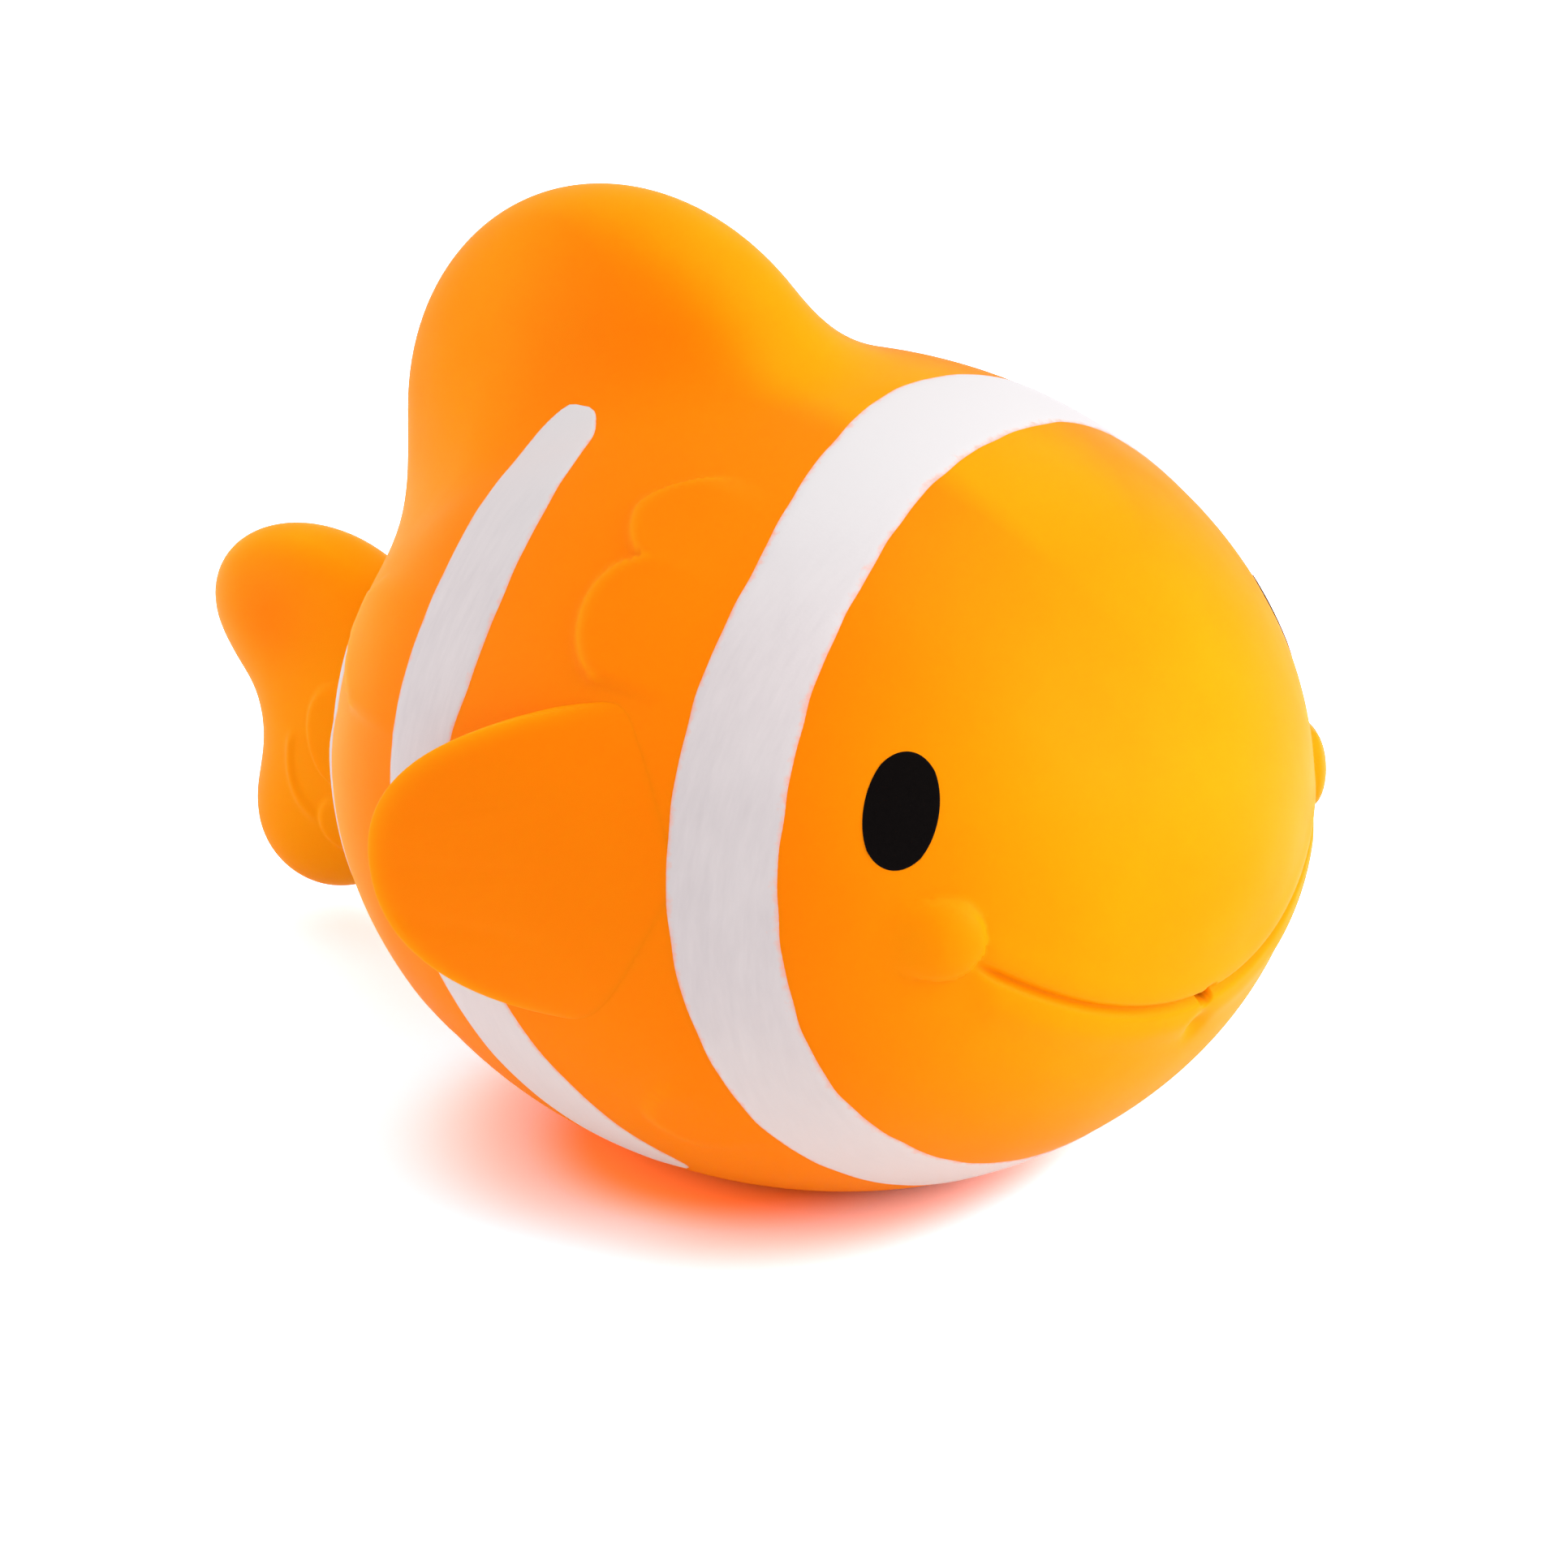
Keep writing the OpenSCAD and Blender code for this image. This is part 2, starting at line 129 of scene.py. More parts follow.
def cast(distance, middle, directions):
    """Where rays from a middle inside a moulded shape leave it."""
    low = np.full(len(directions), nearest_reach)
    high = np.full(len(directions), farthest_reach)
    for _ in range(cast_steps):
        reach = (low + high) / 2
        outside = distance(middle + directions * reach[:, None]) > 0
        high = np.where(outside, reach, high)
        low = np.where(outside, low, reach)
    return middle + directions * low[:, None]


def unit(vectors):
    """Vectors drawn out or in to a length of 1."""
    return vectors / np.linalg.norm(vectors, axis=1)[:, None]


def from_top(points):
    """The angle round the body from the top of the back, in degrees; the same on both sides."""
    return np.degrees(np.arctan2(np.abs(points[:, 1]), points[:, 2]))


scale_edge_softness = 0.45
crest_inset = 0.35
crest_width = 0.45
top_lean_start = -0.3
first_lobe_fade = 0.5
last_lobe_fade = 0.12
left_scales_fade = (36, 52)


def scale_edges(points, rear_edge, lean, first_angle, pitch, lobes, reach, top_lean, bulge, height):
    """Raised scales that sink to nothing under a band and end in round lobes.

    Gives their height and, for the painted highlight on their edges, where their crests are.
    """
    angle = from_top(points)
    behind = rear_edge - lean * points[:, 2] - points[:, 0]
    lobe = (angle - first_angle) / pitch
    in_row = np.isin(np.floor(lobe), lobes)
    across = 2 * (lobe - np.floor(lobe)) - 1
    is_first = ~np.isin(np.floor(lobe) - 1, lobes)
    lobe_reach = reach * (1 - top_lean * is_first * smooth_step(-across, top_lean_start, 1))
    lobe_edge = lobe_reach + bulge * np.sqrt(np.clip(1 - across * across, 0, 1))
    past_edge = behind - lobe_edge
    step_down = 1 - smooth_step(past_edge, -scale_edge_softness, scale_edge_softness)
    rise = np.clip(behind / lobe_edge, 0, 1) * step_down
    crest = np.exp(-((past_edge + crest_inset) / crest_width) ** 2)
    start = np.where(is_first, smooth_step(1 + across, 0, first_lobe_fade), 1)
    end = np.where(np.isin(np.floor(lobe) + 1, lobes), 1, smooth_step(1 - across, 0, last_lobe_fade))
    below_top = np.where(points[:, 1] > 0, smooth_step(angle, *left_scales_fade), 1)
    shown = height * in_row * below_top * start * end
    return rise * shown, crest * shown


scale_rows = (
    dict(rear_edge=11.8, lean=0.211, first_angle=27, pitch=16.5, lobes=(0, 1),
         reach=4.6, top_lean=0.55, bulge=3.0, height=0.6),
    dict(rear_edge=11.8, lean=0.211, first_angle=27, pitch=16.5, lobes=(5,),
         reach=4.6, top_lean=0.55, bulge=3.0, height=0.2),
    dict(rear_edge=-8.6, lean=0.301, first_angle=53, pitch=23, lobes=(0,),
         reach=5.2, top_lean=0, bulge=5.0, height=0.5),
    dict(rear_edge=-8.6, lean=0.301, first_angle=76, pitch=46.5, lobes=(0,),
         reach=8.0, top_lean=0, bulge=7.0, height=0.2))
cheek_middle = np.array((24.6, -17.5, 1.5))
cheek_axis = unit(np.array(((0.62, 0.78, -0.1),)))[0]
cheek_radius = 2.5
cheek_tail = 4.0
cheek_stand = 1.15
left_cheek_shift = np.array((-1.2, -1.1, -1.1))
left_cheek_share = 0.8
smile_half_width = 16.2
mouth_level = -6.3
smile_lift = 6.2
smile_depth = 0.62
smile_softness = 0.27
smile_end_fade = (0.92, 1.02)
lip_stand = 0.22
lower_lip_drop = 1.5
lower_lip_width = 1.1
upper_lip_share = 0.5
upper_lip_rise = 1.2
upper_lip_width = 0.9
squirt_radius = 0.62
squirt_depth = 3.0
squirt_flare = (0.5, 1.2)
dimple_drop = 2.2
dimple_depth = 0.5
dimple_width = 0.9


def skin_relief(points):
    """Height of the moulded detail above the plain shape, along the ray from the body's middle."""
    relief = np.zeros(len(points))
    for row in scale_rows:
        relief += scale_edges(points, **row)[0]
    right_side = points * (1, 0, 1) - np.abs(points) * (0, 1, 0)
    from_cheek = right_side - cheek_middle - np.outer(points[:, 1] > 0, left_cheek_shift)
    forward = from_cheek @ cheek_axis
    sideways = np.linalg.norm(from_cheek - np.outer(forward, cheek_axis), axis=1)
    cheek_reach = np.where(forward > 0, cheek_radius, cheek_tail)
    span = np.sqrt((forward / cheek_reach) ** 2 + (sideways / cheek_radius) ** 2)
    stand = np.where(points[:, 1] > 0, left_cheek_share, 1) * cheek_stand
    relief += stand * np.sqrt(np.clip(1 - span ** 2, 0, 1)) * (1 - smooth_step(-forward, 0, cheek_tail))
    across = np.abs(points[:, 1]) / smile_half_width
    line = mouth_level + smile_lift * across ** 2
    slope = 2 * smile_lift * across / smile_half_width
    above = (points[:, 2] - line) / np.sqrt(1 + slope * slope)
    in_front = points[:, 0] > 0
    on_face = in_front * (1 - smooth_step(across, *smile_end_fade))
    relief -= smile_depth * np.exp(-(above / smile_softness) ** 2) * on_face
    relief += lip_stand * np.exp(-((above + lower_lip_drop) / lower_lip_width) ** 2) * on_face
    upper_lip = np.exp(-((above - upper_lip_rise) / upper_lip_width) ** 2)
    relief += upper_lip_share * lip_stand * upper_lip * on_face
    from_hole = np.hypot(points[:, 1], points[:, 2] - mouth_level)
    relief -= squirt_depth * (1 - smooth_step(from_hole / squirt_radius, *squirt_flare)) * in_front
    from_dimple = np.hypot(points[:, 1], points[:, 2] - mouth_level + dimple_drop)
    return relief - dimple_depth * np.exp(-(from_dimple / dimple_width) ** 2) * in_front


foot_softness = 0.25
recess_radius = 8.45
recess_depth = 1.35
recess_edge_inside = 0.15
recess_edge_outside = 0.35


def on_skin(directions):
    """Points of the finished outer surface, with its foot and the recess round the squeaker."""
    points = cast(skin_distance, np.zeros(3), directions)
    points = points + directions * skin_relief(points)[:, None]
    over_foot = points[:, 2] + belly_drop
    points[:, 2] = foot_softness * np.logaddexp(0, over_foot / foot_softness) - belly_drop
    past_recess = np.hypot(points[:, 0], points[:, 1]) - recess_radius
    recess = recess_depth * (1 - smooth_step(past_recess, -recess_edge_inside, recess_edge_outside))
    points[:, 2] += recess * (points[:, 2] < recess_radius - belly_drop)
    return points


def shape_mesh(made, name, move):
    """Makes an object of a bmesh whose vertices are first moved onto their surface, smooth shaded."""
    places = move(np.array([vertex.co for vertex in made.verts], float))
    for vertex, place in zip(made.verts, (places + body_middle) * MM):
        vertex.co = place
    made.normal_update()
    bmesh.ops.recalc_face_normals(made, faces=made.faces)
    mesh = bpy.data.meshes.new(name)
    made.to_mesh(mesh)
    made.free()
    mesh.shade_smooth()
    piece = bpy.data.objects.new(name, mesh)
    bpy.context.scene.collection.objects.link(piece)
    return piece


face_reach = 30.0
mouth_front = 23.4
fine_below = 4.0
fine_above = 3.6


def near_smile(direction):
    """Whether a direction meets the face near the smile or the cheeks, where the mesh has to be finer."""
    place = direction * face_reach
    above = place.z - mouth_level - smile_lift * (place.y / smile_half_width) ** 2
    return place.x > mouth_front and -fine_below < above < fine_above


skin_mesh = bmesh.new()
bmesh.ops.create_uvsphere(skin_mesh, u_segments=skin_spokes, v_segments=skin_rings, radius=1)
for vertex in skin_mesh.verts:
    station = math.acos(np.clip(vertex.co.z, -1, 1))
    station -= nose_crowding * math.sin(station)
    turn = math.atan2(vertex.co.y, vertex.co.x)
    turn -= top_crowding * math.sin(turn)
    vertex.co = (math.cos(station), math.sin(station) * math.sin(turn), math.sin(station) * math.cos(turn))
mouth_edges = [edge for edge in skin_mesh.edges if all(near_smile(vertex.co) for vertex in edge.verts)]
bmesh.ops.subdivide_edges(skin_mesh, edges=mouth_edges, cuts=1, use_grid_fill=True)
skin = shape_mesh(skin_mesh, "vinyl_skin", lambda directions: on_skin(unit(directions)))


def mark(piece, name, shares):
    """Keeps one number for each point of a piece, for its material."""
    attribute = piece.data.attributes.new(name, "FLOAT", "POINT")
    attribute.data.foreach_set("value", shares.astype(np.float32))


def places_of(piece):
    """A piece's points, in millimetres from the body's middle again."""
    places = np.empty(len(piece.data.vertices) * 3)
    piece.data.vertices.foreach_get("co", places)
    return places.reshape(-1, 3) / MM - body_middle


skin_places = places_of(skin)
# Painted light, kept for the material: the dorsal fin's rim, the rear of the body below its top and the
# crests of the scales are lightened, as light through a thin wall would show there.
dorsal_rim_light = 0.75
dorsal_rim_reach = (0.72, 1.05)
dorsal_rim_foot = (0.12, 0.5)
dorsal_rim_tilt = 0.15
dorsal_rim_side = (0.22, 0.68)
dorsal_left_share = 0.5
from_dorsal = (skin_places - dorsal_middle) / dorsal_radii
dorsal_side = np.abs(from_dorsal[:, 1]) * np.where(from_dorsal[:, 1] > 0, dorsal_left_share, 1)
dorsal_rim = smooth_step(np.hypot(from_dorsal[:, 0], from_dorsal[:, 2]), *dorsal_rim_reach)
dorsal_rim *= smooth_step(from_dorsal[:, 2] + dorsal_rim_tilt * from_dorsal[:, 0], *dorsal_rim_foot)
dorsal_rim *= 1 - smooth_step(dorsal_side, *dorsal_rim_side)
rear_light = 0.8
rear_light_start = (11, 23)
rear_top_loss = 0.4
rear_top_start = (8, 20)
rear_share = smooth_step(-skin_places[:, 0], *rear_light_start)
rear_share *= 1 - rear_top_loss * smooth_step(skin_places[:, 2], *rear_top_start)
crest_light = 0.9
crest_share = sum(scale_edges(skin_places, **row)[1] for row in scale_rows)
mark(skin, "thin_wall",
     np.maximum(dorsal_rim_light * dorsal_rim, rear_light * rear_share) + crest_light * crest_share)
# Painted shade: the mouth's hole is darkened towards its middle.
hole_shade = (0.55, 1.05)
from_mouth = np.hypot(skin_places[:, 1], skin_places[:, 2] - mouth_level) / squirt_radius
mark(skin, "hole_depth", (1 - smooth_step(from_mouth, *hole_shade)) * (skin_places[:, 0] > 0))


def linear(code):
    """An sRGB hex colour as linear red, green, blue and alpha."""
    shares = [int(code[place:place + 2], 16) / 255 for place in (0, 2, 4)]
    return tuple(s / 12.92 if s <= 0.04045 else ((s + 0.055) / 1.055) ** 2.4 for s in shares) + (1.0,)


def add_node(tree, kind, inputs=None, **settings):
    """Adds a node with its settings; an input is a value or another node's output."""
    made = tree.nodes.new(kind)
    for name, value in settings.items():
        setattr(made, name, value)
    for name, value in (inputs or {}).items():
        if isinstance(value, bpy.types.NodeSocket):
            tree.links.new(value, made.inputs[name])
        else:
            made.inputs[name].default_value = value
    return made


def new_material(name):
    """An empty node material with its output; returns the material, its tree and the output."""
    made = bpy.data.materials.new(name)
    made.use_nodes = True
    made.node_tree.nodes.clear()
    return made, made.node_tree, made.node_tree.nodes.new("ShaderNodeOutputMaterial")


# Soft PVC with a dry, satin skin: a deep orange, faint cloudy pigment, a fine mould grain and light that
# seeps a little way in. Painted light turns it amber over the face and lightens it where the wall is thin,
# at its rims, and the mouth's hole is painted dark. The real grain is finer; it is drawn as coarse as it
# needs to be to show.
face_axis = (0.85, -0.15, 0.08)
face_left_lead = 0.07
painted_face_light_start = 18.2
painted_face_light_full = 37.5
vinyl, vinyl_tree, vinyl_out = new_material("soft_pvc_orange")
vinyl_place = add_node(vinyl_tree, "ShaderNodeTexCoord").outputs["Object"]
vinyl_axes = add_node(vinyl_tree, "ShaderNodeSeparateXYZ", {"Vector": vinyl_place})
vinyl_side = add_node(vinyl_tree, "ShaderNodeMath", {0: vinyl_axes.outputs["Y"]}, operation="ABSOLUTE")
vinyl_folded = add_node(vinyl_tree, "ShaderNodeCombineXYZ", {
    "X": vinyl_axes.outputs["X"], "Y": vinyl_side.outputs["Value"], "Z": vinyl_axes.outputs["Z"]})
folded_share = add_node(vinyl_tree, "ShaderNodeVectorMath", {
    0: vinyl_folded.outputs["Vector"], 1: face_axis}, operation="DOT_PRODUCT")
# Painted light: this share rises towards the face on both sides, where the orange is turned amber as if lit.
towards_face = add_node(vinyl_tree, "ShaderNodeMath", {
    0: vinyl_axes.outputs["Y"], 1: face_left_lead,
    2: folded_share.outputs["Value"]}, operation="MULTIPLY_ADD")
painted_face_light = add_node(vinyl_tree, "ShaderNodeMapRange", {
    "Value": towards_face.outputs["Value"], "From Min": painted_face_light_start * MM,
    "From Max": painted_face_light_full * MM}, interpolation_type="SMOOTHSTEP")
# Painted light and shade kept on each piece: lighter rims, crests, rear and tail, and a darker patch in the
# tail.
thin_wall = add_node(vinyl_tree, "ShaderNodeAttribute", attribute_name="thin_wall")
light_share = add_node(vinyl_tree, "ShaderNodeMath", {
    0: painted_face_light.outputs["Result"], 1: thin_wall.outputs["Fac"]}, operation="MAXIMUM")
cloud_size = 14
pigment_cloud = add_node(vinyl_tree, "ShaderNodeTexNoise", {
    "Vector": vinyl_place, "Scale": 1 / (cloud_size * MM), "Detail": 3.0, "Roughness": 0.55})
# Painted light: the orange is mixed towards amber by the share of painted light.
painted_light_colour = add_node(vinyl_tree, "ShaderNodeMix", {
    "Factor": light_share.outputs["Value"], "A": linear("FF8200"), "B": linear("FFA300")}, data_type="RGBA")
cloudy = add_node(vinyl_tree, "ShaderNodeMapRange", {
    "Value": pigment_cloud.outputs["Fac"], "From Min": 0.3, "From Max": 0.7, "To Min": 0.0, "To Max": 0.22})
vinyl_colour = add_node(vinyl_tree, "ShaderNodeMix", {
    "Factor": cloudy.outputs["Result"], "A": painted_light_colour.outputs["Result"],
    "B": linear("FF7400")}, data_type="RGBA")
# Painted shade in the mouth's hole: a dark brown mixed into the orange.
hole_depth = add_node(vinyl_tree, "ShaderNodeAttribute", attribute_name="hole_depth")
vinyl_seen = add_node(vinyl_tree, "ShaderNodeMix", {
    "Factor": hole_depth.outputs["Fac"], "A": vinyl_colour.outputs["Result"],
    "B": linear("6A2200")}, data_type="RGBA")
grain_size = 0.45
mould_grain = add_node(vinyl_tree, "ShaderNodeTexNoise", {
    "Vector": vinyl_place, "Scale": 1 / (grain_size * MM), "Detail": 2.0, "Roughness": 0.6})
vinyl_bump = add_node(vinyl_tree, "ShaderNodeBump", {
    "Height": mould_grain.outputs["Fac"], "Strength": 0.12, "Distance": 0.06 * MM})
vinyl_roughness = add_node(vinyl_tree, "ShaderNodeMapRange", {
    "Value": pigment_cloud.outputs["Fac"], "From Min": 0.3, "From Max": 0.7, "To Min": 0.46, "To Max": 0.6})
vinyl_shader = add_node(vinyl_tree, "ShaderNodeBsdfPrincipled", {
    "Base Color": vinyl_seen.outputs["Result"], "Roughness": vinyl_roughness.outputs["Result"],
    "Normal": vinyl_bump.outputs["Normal"], "IOR": 1.5, "Specular IOR Level": 0.035,
    "Sheen Weight": 0.05, "Sheen Roughness": 0.45, "Sheen Tint": linear("FFA010"),
    "Subsurface Weight": 0.3, "Subsurface Radius": (1.0, 0.35, 0.05), "Subsurface Scale": 0.6 * MM})
vinyl_tree.links.new(vinyl_shader.outputs["BSDF"], vinyl_out.inputs["Surface"])
skin.data.materials.append(vinyl)
body_anchor = tuple(body_middle * MM)


def follow_squeeze(piece):
    """Puts the piece on the body and gives it a mesh of its own."""
    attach(piece, "body")
    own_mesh(piece)


follow_squeeze(skin)
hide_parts("body_skin", "right_flank", "left_flank")

# The side fins are thin leaves of the same moulding. Each grows out of its flank at the front, and its free
# rear end stands off the body and bends, with a rounded edge and a few faint rays.
sides = ((1, "right"), (-1, "left"))
fin_middle = np.array((9.5, 0.0, 3.9))
fin_reach = 17.4
fin_fullness = 2.3
fin_half_height = 9.7
fin_droop = math.radians(10)
fin_front = 12.0
fin_hidden_length = 5.0
fin_stand = 0.0115
fin_sink = 0.06
fin_flatness = 0.55
fin_flattening = (4, 18)
fin_root_thickness = 3.4
fin_tip_thickness = 2.0
fin_thinning = (2, 20)
fin_edge_share = 0.3
fin_spokes = 120
fin_rings = 96
fin_rays = (-0.45, 0.05, 0.5)
ray_depth = 0.14
ray_half_width = 0.5
ray_start = (7, 12)
ray_end = (16, 19)
ray_closing = 0.35
ray_face_share = 0.35


def flank_width(long_place, high_place):
    """Half the body's width at a place on the flank."""
    left_over = 1 - (long_place / body_radii[0]) ** 2 - (high_place / body_radii[2]) ** 2
    return body_radii[1] * np.sqrt(left_over)


def on_right_fin(ball):
    """A leaf that leaves the right flank without a crease, with a rounded edge, thinner towards its tip."""
    outline = np.abs(unit(ball[:, :2] + nearly_zero)) ** fin_fullness
    fuller = outline.sum(axis=1) ** (-1 / fin_fullness)
    along = ball[:, 0] * fin_reach * fuller
    up = ball[:, 1] * fin_half_height * fuller
    long_place = fin_middle[0] + along * math.cos(fin_droop) - up * math.sin(fin_droop)
    high_place = fin_middle[2] + along * math.sin(fin_droop) + up * math.cos(fin_droop)
    hidden = fin_hidden_length * np.tanh(np.maximum(long_place - fin_front, 0) / fin_hidden_length)
    long_place = np.minimum(long_place, fin_front) + hidden
    behind = fin_front - long_place
    flank = flank_width(long_place, high_place)
    sag = flank_width(long_place, np.full(len(ball), fin_middle[2])) - flank
    stand = np.where(behind > 0, fin_stand, -fin_sink) * behind ** 2
    stand += fin_flatness * smooth_step(behind, *fin_flattening) * sag
    tip_share = smooth_step(behind, *fin_thinning)
    thickness = fin_root_thickness + (fin_tip_thickness - fin_root_thickness) * tip_share
    wall_share = np.sign(ball[:, 2]) * np.abs(ball[:, 2]) ** fin_edge_share
    ray_fade = smooth_step(behind, *ray_start) * (1 - smooth_step(behind, *ray_end))
    ray_fade = ray_fade * (ball[:, 2] > ray_face_share)
    for ray in fin_rays:
        from_ray = up - ray * fin_half_height * (1 - ray_closing * tip_share)
        stand -= ray_fade * ray_depth * np.exp(-(from_ray / ray_half_width) ** 2)
    width = flank + stand - thickness / 2 + wall_share * thickness / 2
    return np.stack((long_place, -width, high_place), axis=1)


# Painted light: each fin's rim is lightened towards its free rear end, as light through its thin edge would
# show.
fin_rim_light = 0.9
fin_rim_wall = (0.05, 0.5)
fin_rim_start = (-8, 2)
for side, side_name in sides:
    fin_mesh = bmesh.new()
    bmesh.ops.create_uvsphere(fin_mesh, u_segments=fin_spokes, v_segments=fin_rings, radius=1)
    fin_walls = np.array([vertex.co.z for vertex in fin_mesh.verts])
    fin = shape_mesh(fin_mesh, side_name + "_side_fin", lambda ball: on_right_fin(ball) * (1, side, 1))
    fin_rim = 1 - smooth_step(np.abs(fin_walls), *fin_rim_wall)
    fin_rim *= smooth_step(-places_of(fin)[:, 0], *fin_rim_start)
    mark(fin, "thin_wall", fin_rim_light * fin_rim)
    fin.data.materials.append(vinyl)
    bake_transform(fin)
    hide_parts(side_name + "_fin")

# The tail is a flat pillow of the same moulding with two round lobes and a dip between them. It is soft at
# its root behind the last white band.
upper_lobe_middle = np.array((-43.8, 0.0, -1.8))
upper_lobe_radii = np.array((9.4, 4.5, 6.2))
lower_lobe_middle = np.array((-43.6, 0.0, -15.6))
lower_lobe_radii = np.array((5.6, 4.5, 5.2))
stalk_middle = np.array((-38.3, 0.0, -8.7))
stalk_radii = np.array((8.3, 4.5, 9.5))
lobe_blend = 9.0
stalk_blend = 3.0
tail_heart = np.array((-42.0, 0.0, -8.7))
tail_spokes = 160
tail_rings = 120


def tail_distance(points):
    """The tail without its fine relief: two lobes, the stalk that carries them and its root in the body."""
    lobes = soft_join(egg_distance(points - upper_lobe_middle, upper_lobe_radii),
                      egg_distance(points - lower_lobe_middle, lower_lobe_radii), lobe_blend)
    stalk = soft_join(egg_distance(points - stalk_middle, stalk_radii),
                      egg_distance(points - tail_root_middle, tail_root_radii), stalk_blend)
    return soft_join(lobes, stalk, stalk_blend)


tail_scales = ((-7.4, 4.0, 3.4), (-13.9, 2.4, 2.9))
tail_scale_base = -37.2
tail_scale_front = -33.0
tail_scale_height = 0.45
tail_scale_softness = 0.35
tail_scale_end_fade = 0.3
tail_face = (1.2, 2.6)
tail_fold_middle = (-39.9, -10.2)
tail_fold_radii = (2.9, 3.6)
tail_fold_height = 0.2
tail_fold_width = 0.13
tail_fold_front_fade = 1.2
tail_fold_top = 2.6
tail_fold_top_fade = 1.5


def on_tail(directions):
    """The tail's surface with two raised scales and a fold at its root on each side."""
    points = cast(tail_distance, tail_heart, directions)
    on_side = smooth_step(np.abs(points[:, 1]), *tail_face)
    rise = np.zeros(len(points))
    for level, half_height, bulge in tail_scales:
        across = (points[:, 2] - level) / half_height
        edge = tail_scale_base - bulge * np.sqrt(np.clip(1 - across * across, 0, 1))
        sink = np.clip((tail_scale_front - points[:, 0]) / (tail_scale_front - edge), 0, 1)
        step_down = 1 - smooth_step(edge - points[:, 0], -tail_scale_softness, tail_scale_softness)
        lobe = sink * step_down * smooth_step(1 - np.abs(across), 0, tail_scale_end_fade)
        rise = np.maximum(rise, tail_scale_height * lobe)
    behind_fold = tail_fold_middle[0] - points[:, 0]
    below_fold = tail_fold_middle[1] - points[:, 2]
    from_fold = np.hypot(behind_fold / tail_fold_radii[0], below_fold / tail_fold_radii[1])
    fold_end = smooth_step(behind_fold, 0, tail_fold_front_fade)
    fold_end = fold_end * smooth_step(below_fold + tail_fold_top, 0, tail_fold_top_fade)
    rise += tail_fold_height * np.exp(-((from_fold - 1) / tail_fold_width) ** 2) * fold_end
    return points + np.sign(points[:, 1:2]) * np.outer(rise * on_side, (0, 1, 0))


tail_mesh = bmesh.new()
bmesh.ops.create_uvsphere(tail_mesh, u_segments=tail_spokes, v_segments=tail_rings, radius=1)
tail = shape_mesh(tail_mesh, "tail_lobes", lambda ball: on_tail(unit(ball)))
tail_places = places_of(tail)
# Painted light and shade: the tail is lightened all over and more at its thin rim, and painted shade darkens
# a patch in the middle of its upper lobe.
tail_light = 0.65
tail_rim_light = 0.5
tail_rim_wall = (0.5, 3.2)
tail_rim_start = (34, 40)
tail_dark = 0.62
tail_dark_middle = np.array((-45.0, 0.0, -0.5))
tail_dark_radii = np.array((5, np.inf, 4))
tail_rim = 1 - smooth_step(np.abs(tail_places[:, 1]), *tail_rim_wall)
tail_rim *= smooth_step(-tail_places[:, 0], *tail_rim_start)
from_dark = (tail_places - tail_dark_middle) / tail_dark_radii
painted_tail_core_shade = np.exp(-(from_dark ** 2).sum(axis=1)) * (1 - tail_rim)
mark(tail, "thin_wall", tail_light - tail_dark * painted_tail_core_shade + tail_rim_light * tail_rim)
tail.data.materials.append(vinyl)
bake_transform(tail)
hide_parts("tail_fin")

# The white bands are vinyl paint, sprayed on through masks, so they lie as a thin coat on the skin with a
# soft, slightly uneven edge where orange shows through pink. The first is a ring behind the head.
paint_coat = 0.05
edge_sink = 0.06
rim_share = 0.999
ring_spokes = 360
band_strips = 14
mask_wander = 0.045
mask_wavers = (
    dict(strength=1.0, waves=11, lead=1.0),
    dict(strength=0.7, waves=29, lead=2.1),
    dict(strength=0.3, waves=53, lead=3.3))


def along_curve(at, stations, values):
    """A smooth curve through a few stations, for a band's edge."""
    stations = np.array(stations, float)
    values = np.array(values, float)
    slopes = np.gradient(values, stations)
    place = np.clip(np.searchsorted(stations, at) - 1, 0, len(stations) - 2)
    width = stations[place + 1] - stations[place]
    share = np.clip((at - stations[place]) / width, 0, 1)
    start, end = values[place], values[place + 1]
    bend = share * (1 - share)
    lead = bend * (1 - share) * slopes[place] * width - bend * share * slopes[place + 1] * width
    return start + (end - start) * share * share * (3 - 2 * share) + lead


def edge_wander(turns, phase):
    """The small waver that a spray mask leaves along a paint edge."""
    return mask_wander * sum(
        waver["strength"] * np.sin(np.radians(turns) * waver["waves"] + waver["lead"] * phase)
        for waver in mask_wavers)


def lifted(directions, at_edge):
    """Points on the skin, lifted by the paint; its edge dips into the skin, so that no gap shows."""
    lift = np.where(at_edge, -edge_sink, paint_coat)
    return on_skin(directions) + directions * lift[:, None]


def band_places(turns, stations, at_edge):
    """Points of a coat of paint at an angle round the body and a place along it."""
    turns = np.radians(turns)
    round_body = np.stack((np.zeros(len(turns)), -np.sin(turns), np.cos(turns)), axis=1)
    directions = unit(cast(skin_distance, np.outer(stations, (1, 0, 0)), round_body))
    return lifted(directions, at_edge)


def mark_edges(piece, shares):
    """Keeps how near each point lies to the paint's edge."""
    mark(piece, "from_edge", 2 * np.minimum(shares, 1 - shares))


